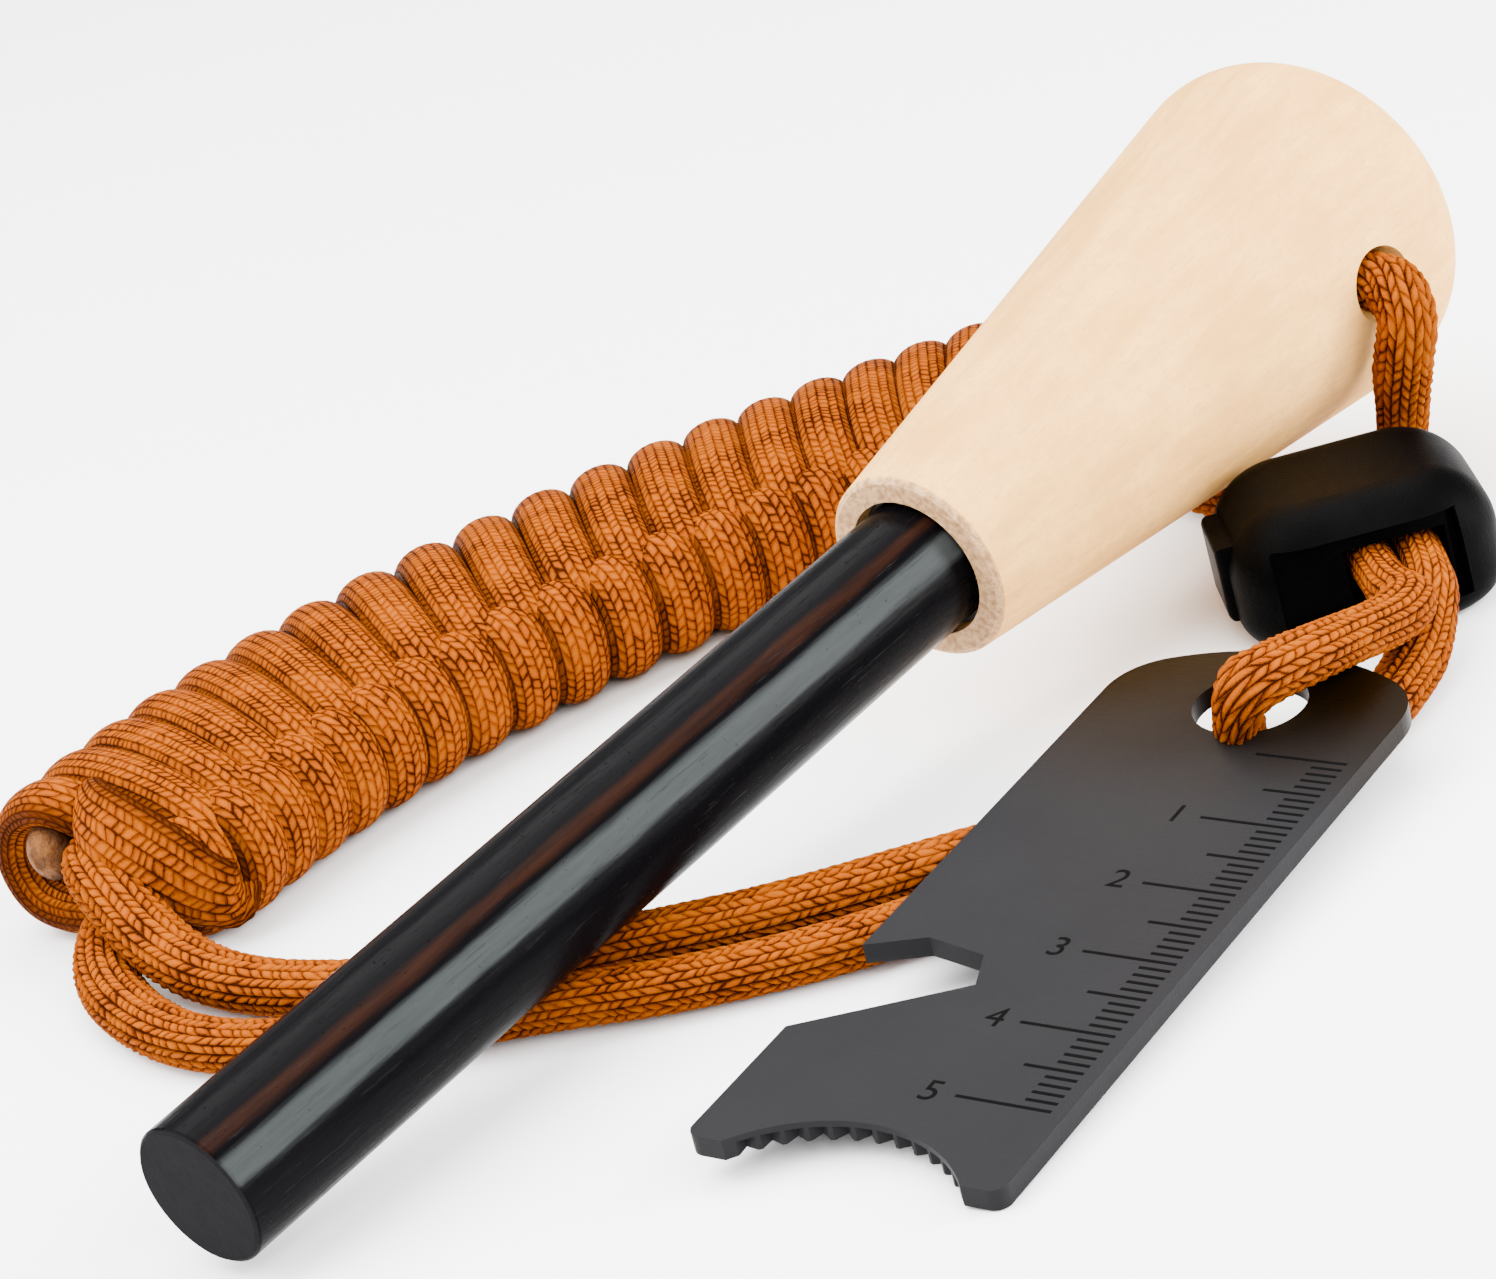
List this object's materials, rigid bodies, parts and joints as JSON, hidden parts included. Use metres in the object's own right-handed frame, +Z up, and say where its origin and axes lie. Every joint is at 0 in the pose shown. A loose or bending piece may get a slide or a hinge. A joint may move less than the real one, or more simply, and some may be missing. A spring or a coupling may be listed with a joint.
{
  "type": "ferro rod fire starter",
  "caption": "Ferrocerium striking rod in a turned wooden handle, on a cord with a sprung cord lock, a flat steel striker with a ruler edge and notches, and a wound hank.",
  "frame": {"origin": "bottom centre of the box round the rigid pieces (handle, rod, striker, cord lock), on the floor", "axes": "+X along the rod from its tip to the butt, over the floor; +Z up"},
  "size_m": [0.1672, 0.134, 0.0417],
  "materials": {
    "handle_wood": "sanded pale maple with a thin matt oil",
    "rod_ferrocerium": "glossy black lacquer over ferrocerium",
    "rod_adhesive": "dark cured epoxy",
    "striker_steel": "satin black coated steel with engraved marks",
    "lock_plastic": "fine grained satin black plastic",
    "plunger_plastic": "satin black plastic",
    "spring_steel": "bright spring wire",
    "cord_weave": "orange woven nylon cord",
    "cord_sealed": "melted brown cord end"
  },
  "bodies": {
    "lanyard": {"hank_core": "cord_weave", "hank_winding": "cord_weave", "sealed_cord_end": "cord_sealed", "striker_strand": "cord_weave", "free_strand": "cord_weave", "handle_loop": "cord_weave"},
    "grip": {"handle": "handle_wood", "ferro_rod": "rod_ferrocerium", "rod_adhesive": "rod_adhesive"},
    "striker": {"striker_plate": "striker_steel"},
    "cord_lock": {"lock_body": "lock_plastic", "lock_spring": "spring_steel"},
    "lock_plunger": {"lock_plunger": "plunger_plastic"}
  },
  "joints": [
    {"name": "handle_swing", "type": "hinge", "parent": "lanyard", "child": "grip", "pos_m": [0.06283, 0.01973, 0.02338], "axis": [-0.0051, 0.999, 0.0433], "range_deg": [0, 30]},
    {"name": "striker_swivel", "type": "hinge", "parent": "lanyard", "child": "striker", "pos_m": [0.0096, -0.01496, 0.00707], "axis": [0.0477, 0.0939, -0.9944], "range_deg": [0, 15]},
    {"name": "lock_slide", "type": "slide", "parent": "lanyard", "child": "cord_lock", "axis": [-0.7071, -0.7071, 0], "range_m": [0, 0.002]},
    {"name": "plunger_press", "type": "slide", "parent": "cord_lock", "child": "lock_plunger", "axis": [0.7071, -0.7071, 0], "range_m": [0, 0.002], "stiffness_N_per_m": 800, "deforming": ["lock_spring"]}
  ]
}
